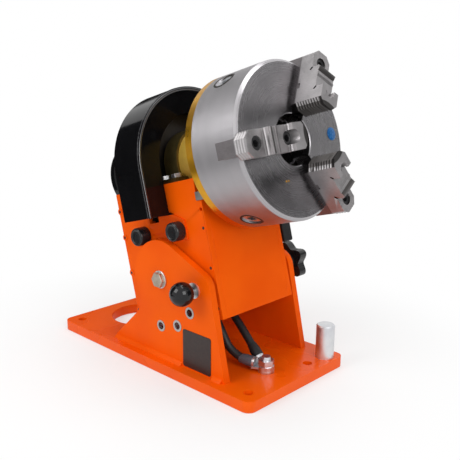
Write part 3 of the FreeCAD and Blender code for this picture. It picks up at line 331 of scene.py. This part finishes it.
def in_frame(point, frame):
    """The three coordinates of a surface point in a frame, such as the tilted head's."""
    offset = point.vector("SUBTRACT", tuple(frame.translation))
    axes = [tuple(frame.col[number].to_3d()) for number in range(3)]
    return [offset.vector("DOT_PRODUCT", axis, output=1) for axis in axes]


def axis_distances(point):
    """How far along the spindle axis a point is, how far from it, and the way out from it."""
    local = point.vector("SUBTRACT", tuple(spindle_origin))
    along = local.vector("DOT_PRODUCT", AXIS, output=1)
    off_axis = local.vector("SUBTRACT", along.times(AXIS))
    return along, off_axis.vector("LENGTH", output=1), off_axis.vector("NORMALIZE")


# %% [markdown]
# ## Orange paint
# The base and the head are steel plate under a thick bright orange coat. Such paint has a
# slight orange-peel skin that breaks up the highlights, and its gloss varies a little where
# it pooled. A fine noise drives the bump, and a wide one the gloss.

# %% Orange paint
def orange_paint(name, specular, gloss):
    material, shader, point = new_finish(name, specular=specular)
    pooled = point.noise(14, 2)
    peel = point.noise(420, 2)
    color = pooled.ranged(0.3, 0.7).mix(rgb(0.88, 0.098, 0.001), rgb(0.94, 0.118, 0.001))
    plug(shader, "Base Color", color)
    plug(shader, "Roughness", pooled.ranged(0.25, 0.75, gloss, gloss + 0.1))
    bump(shader, peel, 0.00006, 0.6)
    return material


orange = orange_paint("orange_paint", 0.06, 0.3)
base_orange = orange_paint("base_paint", 0.16, 0.24)


# %% [markdown]
# ## Plated pieces
# The bearing housing and its saddles are zinc plated with a yellow passivation: a metal that
# drifts from gold to olive in soft clouds. Plain zinc does the same in greys, and both are
# a little rough. One function makes them, with two colours each.


# %% Cloudy plating
def plating(name, first, second, roughness=(0.3, 0.45), cloud=35, metallic=1.0):
    material, shader, point = new_finish(name, metallic=metallic)
    clouds = point.noise(cloud, 4, 0.6)
    fine = point.noise(900, 2)
    plug(shader, "Base Color", clouds.ranged(0.32, 0.68).mix(rgb(*first), rgb(*second)))
    plug(shader, "Roughness", clouds.ranged(0.3, 0.7, *roughness))
    bump(shader, fine, 0.00002, 0.5)
    return material


gold_zinc = plating("gold_zinc", (0.60, 0.30, 0.035), (0.46, 0.27, 0.07))
zinc = plating("zinc", (0.62, 0.63, 0.66), (0.74, 0.75, 0.76))
bronze = plating("bronze", (0.55, 0.34, 0.16), (0.66, 0.42, 0.2))


# %% [markdown]
# ## Black finishes
# The guard is stove-enamelled, nearly a mirror with the faintest ripple. The knobs and the
# control box are moulded plastic, as black but softer. The cables are matt rubber with a fine
# cross grain. They share a function: a black, a roughness range and a bump.


# %% Black finishes
def black_finish(name, color, roughness, ripple, depth, specular=0.4):
    material, shader, point = new_finish(name, specular=specular)
    grain = point.noise(ripple, 2)
    plug(shader, "Base Color", grain.ranged(0.3, 0.7).mix(rgb(*color), shade_of(color, 1.35)))
    plug(shader, "Roughness", point.noise(25, 2).ranged(0.3, 0.7, *roughness))
    bump(shader, grain, depth, 0.5)
    return material


ENAMEL = ((0.003, 0.003, 0.0035), (0.08, 0.14), 60, 0.00005, 0.22)
enamel = black_finish("black_enamel", *ENAMEL)
plastic = black_finish("black_plastic", (0.010, 0.010, 0.011), (0.22, 0.32), 700, 0.00003)
rubber = black_finish("cable_rubber", (0.012, 0.012, 0.013), (0.45, 0.6), 1500, 0.00004)
motor_grey = black_finish("motor_grey", (0.05, 0.05, 0.055), (0.4, 0.5), 500, 0.00004)
blackened = black_finish("blackened_steel", (0.018, 0.018, 0.019), (0.25, 0.35), 900, 0.00002)
lip_enamel = black_finish("lip_enamel", (0.012, 0.012, 0.016), (0.2, 0.28), 60, 0.00005, 1.0)
phenolic = black_finish("phenolic", (0.006, 0.006, 0.007), (0.06, 0.1), 90, 0.00001, 0.35)
plaque_black = black_finish("plaque", (0.022, 0.014, 0.012), (0.3, 0.4), 300, 0.00002)

# %% [markdown]
# ## Turned steel
# The chuck was faced and turned, and the tool left grooves far finer than a pixel. Their
# sides lean in and out, across the grooves only, which spreads each highlight into a fan.
# A Bump node misses such grooves, because it compares heights a whole pixel apart. So the
# lean is worked out directly: a sawtooth of the position, times the way across the grooves,
# is added to the surface normal. That way is outward on the face and lengthwise on the rim.
# A painted shade makes the face 30 percent darker than the rim and the bore nearly black.


# %% Turned steel
GROOVES_PER_METRE = 2600
GROOVE_LEAN = 0.32
RINGS_PER_METRE = 1800


def grooved(shader, point):
    """Leans the normal across fine grooves that run round the spindle axis."""
    along, distance, outward = axis_distances(point)
    tree = point.tree
    normal = Wire(tree, tree.nodes.new("ShaderNodeTexCoord").outputs["Normal"])
    facing = normal.vector("DOT_PRODUCT", AXIS, output=1).math("ABSOLUTE")
    saw = ((along + distance) * GROOVES_PER_METRE).math("FRACT") * 2 - 1
    lean = saw * GROOVE_LEAN
    tilt = (lean * facing).times(outward).vector("ADD", (lean * (1 - facing)).times(AXIS))
    settings = {"vector_type": "VECTOR", "convert_from": "OBJECT", "convert_to": "WORLD"}
    tilt = tilt.node("ShaderNodeVectorTransform", {0: tilt}, **settings)
    surface = Wire(tree, tree.nodes.new("ShaderNodeNewGeometry").outputs["Normal"])
    plug(shader, "Normal", surface.vector("ADD", tilt).vector("NORMALIZE"))


def turned_steel(name, color, roughness):
    material, shader, point = new_finish(name, metallic=1.0)
    along, distance, _ = axis_distances(point)
    across_rings = {0: along * RINGS_PER_METRE, 1: distance * RINGS_PER_METRE}
    rings = point.node("ShaderNodeCombineXYZ", across_rings)
    lines = rings.noise(1.0, 3, 0.6)
    broad = rings.noise(0.06, 2)
    stain = point.noise(30, 3)
    tone = lines * 0.35 + broad * 0.35 + stain * 0.3
    # Painted shade: the face's colour is darkened to 70 percent.
    face_painted_shade = along.ranged(CHUCK_FACE - 0.0007, CHUCK_FACE - 0.0002, 1.0, 0.7)
    clean = tone.ranged(0.3, 0.7).mix(shade_of(color, 0.86), rgb(*color))
    clean = face_painted_shade.mix(rgb(0, 0, 0), clean)
    # Painted shade: nearly black inside the bore.
    past_bore = distance.ranged(0.0322, 0.0328)
    plug(shader, "Base Color", past_bore.mix(rgb(0.03, 0.028, 0.028), clean))
    duller_rim = distance.ranged(0.0975, 0.0985, 0.0, 0.14)
    plug(shader, "Roughness", tone.ranged(0.3, 0.7, *roughness) + duller_rim)
    grooved(shader, point)
    return material


turned = turned_steel("turned_steel", (0.44, 0.425, 0.44), (0.22, 0.3))
# Painted shade: nearly black steel for the pieces inside the guard and chuck, and the key rings.
dark_steel = turned_steel("dark_steel", (0.06, 0.055, 0.05), (0.35, 0.45))

# %% [markdown]
# ## Ground steel
# The jaws are ground on their flats and sides, and the faces that grip are coloured nearly
# black. The surface normal says which face a point is on: the gripping faces look towards
# the spindle axis, so its dot product with the way out is negative there. The jaws' tips,
# nearest the axis, are as dark.

# %% Ground steel
def ground_steel(name, color):
    material, shader, point = new_finish(name, metallic=1.0)
    grind = point.vector("MULTIPLY", (300, 300, 2600)).noise(1.0, 2, 0.6)
    tone = grind * 0.5 + point.noise(45, 3) * 0.5
    flats = tone.ranged(0.3, 0.7).mix(shade_of(color, 0.72), rgb(*color))
    _, distance, outward = axis_distances(point)
    normal = Wire(point.tree, point.tree.nodes.new("ShaderNodeTexCoord").outputs["Normal"])
    facing = normal.vector("DOT_PRODUCT", outward, output=1)
    tips = distance.ranged(0.0385, 0.0395, 1.0, 0.0)
    grips = facing.ranged(-0.45, -0.22, 1.0, 0.0).math("MAXIMUM", tips)
    plug(shader, "Base Color", grips.mix(flats, rgb(0.07, 0.065, 0.063)))
    plug(shader, "Roughness", tone.ranged(0.3, 0.7, 0.38, 0.52))
    bump(shader, grind, 0.00002, 0.5)
    return material


ground = ground_steel("ground_steel", (0.50, 0.48, 0.485))
slide_steel = ground_steel("slide_steel", (0.27, 0.25, 0.255))

# %% [markdown]
# ## Two-tone pieces and a painted shade
# Two pieces change finish along their length. On the backplate a painted shade, nearly black,
# takes the place of the yellow plating where the chuck covers it, and the guard's fixing tab is
# painted over in orange with the wall. Each mask is a coordinate in the head's frame, taken
# through a steep Map Range, so it stays with the piece as it moves.


# %% Two-tone pieces and a painted shade
def masked(material, mask_of, color):
    """Shows another colour on the part of a finish that a mask picks out."""
    tree = material.node_tree
    shader = tree.nodes["Principled BSDF"]
    coordinates = tree.nodes.new("ShaderNodeTexCoord")
    mask = mask_of(Wire(tree, coordinates.outputs["Object"]))
    before = Wire(tree, shader.inputs["Base Color"].links[0].from_socket)
    plug(shader, "Base Color", mask.mix(before, rgb(*color)))


# Painted shade: 1 on the backplate near the spindle, under the chuck.
def painted_shade_under_chuck(point):
    return axis_distances(point)[1].ranged(0.06, 0.07, 1.0, 0.0)


def fixing_tab(point):
    _, side, height = in_frame(point, head)
    wall_side = side.ranged(-0.0742, -0.0738)
    below_foot = height.ranged(0.0832, 0.0838, 1.0, 0.0)
    return wall_side * below_foot


yellow_zinc = plating("yellow_zinc", (0.74, 0.38, 0.02), (0.60, 0.30, 0.03), (0.25, 0.38))
bright_gold = plating("cartridge_gold", (0.86, 0.56, 0.09), (0.72, 0.46, 0.08), metallic=0.4)
# Painted shade: a dark olive copy of the yellow plating, for the bearing strap.
olive_zinc = plating("olive_zinc", (0.11, 0.085, 0.03), (0.16, 0.12, 0.04), metallic=0.7)
dull_zinc = plating("dull_zinc", (0.24, 0.23, 0.22), (0.34, 0.33, 0.32), (0.45, 0.6))
bush_zinc = plating("bush_zinc", (0.40, 0.385, 0.38), (0.50, 0.49, 0.48), (0.35, 0.5))
# Painted shade: the backplate is nearly black under the chuck.
masked(yellow_zinc, painted_shade_under_chuck, (0.03, 0.027, 0.025))
guard_enamel = black_finish("guard_enamel", *ENAMEL)
masked(guard_enamel, fixing_tab, (0.85, 0.085, 0.001))

FINISHES = {
    "orange paint": orange,
    "gold zinc": gold_zinc,
    "black paint": enamel,
    "black plastic": plastic,
    "ground steel": ground,
    "zinc": zinc,
    "cable rubber": rubber,
    "motor grey": motor_grey,
    "copper alloy": bronze,
    "blackened steel": blackened,
}
OWN_FINISH = {
    "base_plate": base_orange,
    "chuck_body": turned,
    "name_plate": plaque_black,
    "ball_knob": phenolic,
    "cable_lugs": zinc,
    "index_bushes": bush_zinc,
    "backplate": yellow_zinc,
    "bearing_cartridge": bright_gold,
    "bearing_strap": olive_zinc,
    "gear_guard": guard_enamel,
    "brush_holder": dull_zinc,
}
OWN_FINISH.update({f"base_jaw_{number}": slide_steel for number in (1, 2, 3)})
# Painted shade: the gear, the spindle and the pieces inside the chuck are coloured nearly black.
for name in ("drive_gear", "drive_pinion", "spindle", "scroll", "chuck_cover", "bearings"):
    OWN_FINISH[name] = dark_steel
slot_of = {entry["node"]: entry["material_slot"] for entry in frame["record"]["subparts"]}
for name, thing in nodes.items():
    finish = OWN_FINISH.get(name) or FINISHES[slot_of[name]]
    thing.data.materials.clear()
    thing.data.materials.append(finish)
print("finishes:", len(FINISHES) + len(OWN_FINISH))

# %% [markdown]
# ## Small pieces in mesh code
# What the solids leave out is added here, each piece on the body that carries it. Most of it
# is round, and a modeller would spin a profile for that. The helper does the same in bmesh:
# it spins (along, radius) points round the X axis of a place and marks the sharp rings.


# %% Turned pieces
SHARP = math.radians(35)


def add_piece(name, mesh, body, finish, replaced=()):
    piece = bpy.data.objects.new(name, mesh)
    scene.collection.objects.link(piece)
    mesh.materials.append(finish)
    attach(piece, body)
    for node in replaced:
        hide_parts(node)


def finished_mesh(name, shape):
    bmesh.ops.recalc_face_normals(shape, faces=shape.faces)
    for face in shape.faces:
        face.smooth = True
    for edge in shape.edges:
        edge.smooth = edge.calc_face_angle(0.0) < SHARP
    mesh = bpy.data.meshes.new(name)
    shape.to_mesh(mesh)
    shape.free()
    return mesh


def skin(shape, rings):
    """Faces between neighbouring rings of vertices; a ring of one vertex is a tip."""
    for first, second in zip(rings, rings[1:]):
        for here in range(max(len(first), len(second))):
            there = here + 1
            corners = [first[here % len(first)], first[there % len(first)]]
            corners += [second[there % len(second)], second[here % len(second)]]
            corners = list(dict.fromkeys(corners))
            if len(corners) > 2:
                shape.faces.new(corners)


def spin(name, profile, places, sides=48):
    """One mesh of a profile in millimetres, spun at each place."""
    shape = bmesh.new()
    for place in places:
        rings = []
        for along, radius in profile:
            count = sides if radius else 1
            turns = [math.tau * number / count for number in range(count)]
            spots = [(along, radius * math.cos(turn), radius * math.sin(turn)) for turn in turns]
            rings.append([shape.verts.new(place @ (Vector(spot) / 1000)) for spot in spots])
        skin(shape, rings)
    return finished_mesh(name, shape)


def pointing(frame, at, direction):
    """A place in a frame, given in millimetres, with its X axis along a direction."""
    turn = Vector((1, 0, 0)).rotation_difference(Vector(direction)).to_matrix().to_4x4()
    return frame @ Matrix.Translation(Vector(at) / 1000) @ turn


# %% [markdown]
# ## Guard knobs and the guard's lip
# The two hand knobs that hold the guard are plain moulded drums with a dished face. The
# guard's front edge is rolled over into a round lip, which catches one long highlight. The
# lip is a circle swept along the arch, so its rings stand square to the arch all the way.

# %% Guard knobs and lip
for name, across, seat in (("guard_knob_rear", -32.5, 70), ("guard_knob_front", 44, 72.5)):
    profile = [(63, 0), (63, 4), (seat, 4), (seat, 12.5), (seat + 0.6, 13), (84.5, 12.8)]
    profile += [(86, 12.3), (86.8, 11.5), (87, 10.6), (86.7, 9.8), (86.2, 9.2), (86, 8), (86, 0)]
    place = pointing(head, (across, 0, 61), (0, -1, 0))
    body = name.replace("guard_knob_", "") + " knob"
    add_piece(name + "_drum", spin(name, profile, [place]), body, plastic, [name])

LIP_RADIUS, LIP_FROM_AXIS, LIP_ALONG, GUARD_FOOT = 2.8, 104.9, 28.7, -63.7
LEG_STEPS, ARCH_STEPS, LIP_SIDES = 6, 48, 14
arch = [(GUARD_FOOT * (1 - step / LEG_STEPS), math.pi) for step in range(LEG_STEPS)]
arch += [(0, math.pi * (1 - step / ARCH_STEPS)) for step in range(ARCH_STEPS + 1)]
arch += [(GUARD_FOOT * step / LEG_STEPS, 0) for step in range(1, LEG_STEPS + 1)]
shape = bmesh.new()
rings = []
for drop, bearing in arch:
    out = Vector((0, math.cos(bearing), math.sin(bearing)))
    center = out * LIP_FROM_AXIS + Vector((LIP_ALONG, 0, drop))
    ring = []
    for number in range(LIP_SIDES):
        turn = math.tau * number / LIP_SIDES
        side = out * math.cos(turn) + Vector((1, 0, 0)) * math.sin(turn)
        ring.append(shape.verts.new(spindle @ ((center + side * LIP_RADIUS) / 1000)))
    rings.append(ring)
skin(shape, rings)
for end in (rings[0], rings[-1]):
    shape.faces.new(end)
add_piece("guard_lip", finished_mesh("guard_lip", shape), "head", lip_enamel)
print("lip points:", len(arch))

# %% [markdown]
# ## Pivot bolt
# The head tilts on one long bolt through both plates. Its head is a low hexagon on a washer,
# and its aged zinc has gone yellow. A hexagon is a profile spun with six sides, and a round
# shank is the same with many, so one helper makes the bolt, the washers and the nut.

# %% Pivot bolt, washers and nut
aged_zinc = plating("aged_zinc", (0.42, 0.36, 0.27), (0.56, 0.50, 0.42), (0.35, 0.5), 160)
PLATE_OUTSIDE = 84
pivot = pointing(Matrix.Translation(PIVOT), (0, 0, 0), (0, -1, 0))
shank = [(-103, 0), (-103, 7), (-102, 8), (86, 8), (86, 0)]
hexagon = [(86, 8), (86, 11), (90.6, 11), (91.4, 10.2), (91.4, 0)]
bolt = spin("pivot_bolt_low", shank, [pivot])
add_piece("pivot_shank", bolt, "base", zinc, ["pivot_bolt"])
add_piece("pivot_hexagon", spin("pivot_hexagon", hexagon, [pivot], 6), "base", aged_zinc)
near_profile = [(PLATE_OUTSIDE, 8), (PLATE_OUTSIDE, 12.4), (85.7, 12.4), (86, 12), (86, 8)]
far_profile = [(-PLATE_OUTSIDE, 8), (-PLATE_OUTSIDE, 15), (-86.7, 15), (-87, 14.6), (-87, 8)]
washer = spin("pivot_washer", near_profile, [pivot])
add_piece("pivot_washer_near", washer, "base", zinc, ["pivot_nut_and_washers"])
washer = spin("pivot_washer_far", far_profile, [pivot])
add_piece("pivot_washer_far", washer, "base", zinc)
nut = [(-87, 8), (-87, 13), (-88, 13.8), (-99, 13.8), (-100, 13), (-100, 8)]
add_piece("pivot_nut", spin("pivot_nut", nut, [pivot], 6), "base", zinc)

# %% [markdown]
# ## Chuck trim
# Each key socket in the rim has a dark chamfered ring. The rim is round, so a flat ring
# would stand off it: its points are wrapped, which turns their sideways distance into an
# angle about the spindle. The face carries a plain blue disc and two small gold dowels.

# %% Key socket rings, disc and dowels
KEY_DEGREES = (241.3, 1.3, 121.3)
KEY_ALONG = 153.2
CHUCK_MM = CHUCK_RADIUS * 1000
CHAMFER = ((12.1, -1.5), (12.1, 0.1), (12.5, 0.45), (14.2, 0.5), (15.0, 0.1), (15.2, -0.6))
RING_SIDES = 48
shape = bmesh.new()
for degrees in KEY_DEGREES:
    rings = []
    for radius, rise in CHAMFER:
        ring = []
        for number in range(RING_SIDES):
            turn = math.tau * number / RING_SIDES
            angle = math.radians(degrees) + radius * math.sin(turn) / CHUCK_MM
            along = KEY_ALONG + radius * math.cos(turn)
            reach = CHUCK_MM + rise
            spot = Vector((along, reach * math.cos(angle), reach * math.sin(angle)))
            ring.append(shape.verts.new(spindle @ (spot / 1000)))
        rings.append(ring)
    skin(shape, rings)
sockets = finished_mesh("key_socket_rings", shape)
# Painted shade: the key socket rings are coloured nearly black.
add_piece("key_socket_rings", sockets, "spindle", dark_steel)

blue, shader, point = new_finish("blue_enamel", roughness=0.25)
speckle = point.noise(300, 2)
blues = (rgb(0.001, 0.085, 0.27), rgb(0.003, 0.115, 0.34))
plug(shader, "Base Color", speckle.ranged(0.3, 0.7).mix(*blues))
plug(shader, "Roughness", speckle.ranged(0.3, 0.7, 0.2, 0.3))
face = CHUCK_FACE * 1000
disc = [(-0.2, 0), (-0.2, 8.6), (0.3, 8.6), (0.55, 8.2), (0.65, 7.3), (0.7, 0)]
at = pointing(spindle, (face, 79.4, 2.0), (1, 0, 0))
add_piece("face_disc", spin("face_disc", disc, [at]), "spindle", blue)
dowel = [(-0.2, 0), (-0.2, 1.3), (0.3, 1.3), (0.5, 1.0), (0.5, 0)]
spots = [pointing(spindle, (face, across, -48.8), (1, 0, 0)) for across in (-27.2, -22.8)]
add_piece("face_dowels", spin("face_dowels", dowel, spots), "spindle", gold_zinc)

# %% [markdown]
# ## Steps on the jaws and the rear collar's ring
# Each top jaw has two low ribs across its middle step, ground at a slant so that they catch
# the light. They're prisms in the jaw's own frame and ride on that jaw. Behind the guard, a
# steel ring is screwed to the front of the rear collar.

# %% Jaw ribs and collar ring
HALF_WIDTH = 15.4
RIBS = (
    ((84.5, 35.9), (84.5, 38.6), (80, 36.9), (78.5, 35.9)),
    ((74, 35.9), (74, 37.1), (70.5, 35.9)),
)
for number, degrees in enumerate(JAW_DEGREES, start=1):
    shape = bmesh.new()
    place = jaw_place(degrees)
    for outline in RIBS:
        rings = []
        for radial, level in outline:
            spots = [(radial, side * HALF_WIDTH, level) for side in (-1, 1)]
            rings.append([shape.verts.new(place @ (Vector(spot) / 1000)) for spot in spots])
        for here, there in zip(rings, rings[1:] + rings[:1]):
            shape.faces.new([here[0], here[1], there[1], there[0]])
        for side in (0, 1):
            shape.faces.new([ring[side] for ring in rings])
    name = f"jaw_ribs_{number}"
    add_piece(name, finished_mesh(name, shape), f"jaw {number}", ground)

ring = [(-98.2, 38), (-97.4, 38), (-97, 38.4), (-97, 52.4), (-97.4, 53), (-98.2, 53)]
add_piece("collar_ring", spin("collar_ring", ring, [spindle], 96), "spindle", zinc)
head_profile = [(-97.1, 0), (-97.1, 3.2), (-94.8, 3.2), (-94.4, 2.8), (-94.4, 0)]
SCREW_CIRCLE = 45.5
turns = [math.radians(15 + 60 * count) for count in range(6)]
spots = [(0, SCREW_CIRCLE * math.cos(turn), SCREW_CIRCLE * math.sin(turn)) for turn in turns]
places = [pointing(spindle, spot, (1, 0, 0)) for spot in spots]
screws = spin("collar_screws", head_profile, places, 24)
add_piece("collar_screws", screws, "spindle", zinc)

# %% [markdown]
# ## Screw sockets and cable sleeves
# The panel screws are painted over, and only their hexagon sockets show dark. Each socket is
# a thin flat dark hexagon on the screw head, a painted shade for the recess. Spun with six
# sides, the same helper gives them. Where a cable meets its lug, a heat-shrink sleeve grips
# both: it is straight over the barrel and tapers down to the cable.

# %% Screw sockets and sleeves
SCREWS = [(89, 60), (89, 8), (89, -45), (-80, 100), (-80, 62), (-80, 10), (-80, -45)]
SCREW_HEADS = 70.8
places = [
    pointing(head, (across, side * SCREW_HEADS, up), (0, side, 0))
    for across, up in SCREWS
    for side in (-1, 1)
]
# Painted shade: a thin dark hexagon stands for each socket's recess.
socket = [(-0.1, 0), (-0.1, 2.2), (0.12, 2.2), (0.12, 0)]
sockets = spin("screw_sockets", socket, places, 6)
add_piece("screw_sockets", sockets, "head", blackened)

grey_sleeve = black_finish("grey_sleeve", (0.10, 0.105, 0.125), (0.4, 0.55), 700, 0.00003)
sleeve = [(1.5, 6.9), (1.5, 7.5), (13, 7.4), (16.5, 6.6), (21, 6.3), (21.5, 5.6)]
LUG_ENDS = {
    "sleeve_front": ((139.8, -13.6, 29), (88.5, -5, 69), rubber),
    "sleeve_rear": ((141.5, -25.4, 26.4), (122, -30, 27.5), grey_sleeve),
}
for name, (root, towards, finish) in LUG_ENDS.items():
    place = pointing(Matrix.Identity(4), root, Vector(towards) - Vector(root))
    add_piece(name, spin(name, sleeve, [place]), "base", finish)

# %% [markdown]
# ## Softer edges
# No machined or bent edge is perfectly sharp, and the thin bright line along it is what makes
# metal look real. On the flat-sided pieces a Weld modifier joins the imported faces, and a
# Bevel modifier rounds every edge that turns by more than 35 degrees. Turned pieces keep
# their own clean normals, which a bevel would disturb. The CAD mesh itself isn't touched.

# %% Bevelled edges
BEVEL_MM = 0.4
SOFTER_MM = {"base_plate": 1.2, "side_plate": 0.8, "control_box": 2.0, "clamp_knob": 0.8}
FLAT_SIDED = (
    "base_plate", "side_plate", "head_wall", "front_panel", "rear_panel", "control_box",
    "top_jaw", "base_jaw", "brush_holder", "name_plate", "clamp_knob", "earth_stud",
    "saddle", "motor_plate", "strap_bolts", "cable_clip",
)
softened = [name for name in nodes if name.startswith(FLAT_SIDED)]
for name in softened:
    weld = nodes[name].modifiers.new("weld", "WELD")
    weld.merge_threshold = 0.00001
    soften = nodes[name].modifiers.new("soften", "BEVEL")
    widths = [width for start, width in SOFTER_MM.items() if name.startswith(start)]
    soften.width = (widths + [BEVEL_MM])[0] / 1000
    soften.segments = 2
    soften.limit_method = "ANGLE"
    soften.angle_limit = SHARP
print("softened:", len(softened))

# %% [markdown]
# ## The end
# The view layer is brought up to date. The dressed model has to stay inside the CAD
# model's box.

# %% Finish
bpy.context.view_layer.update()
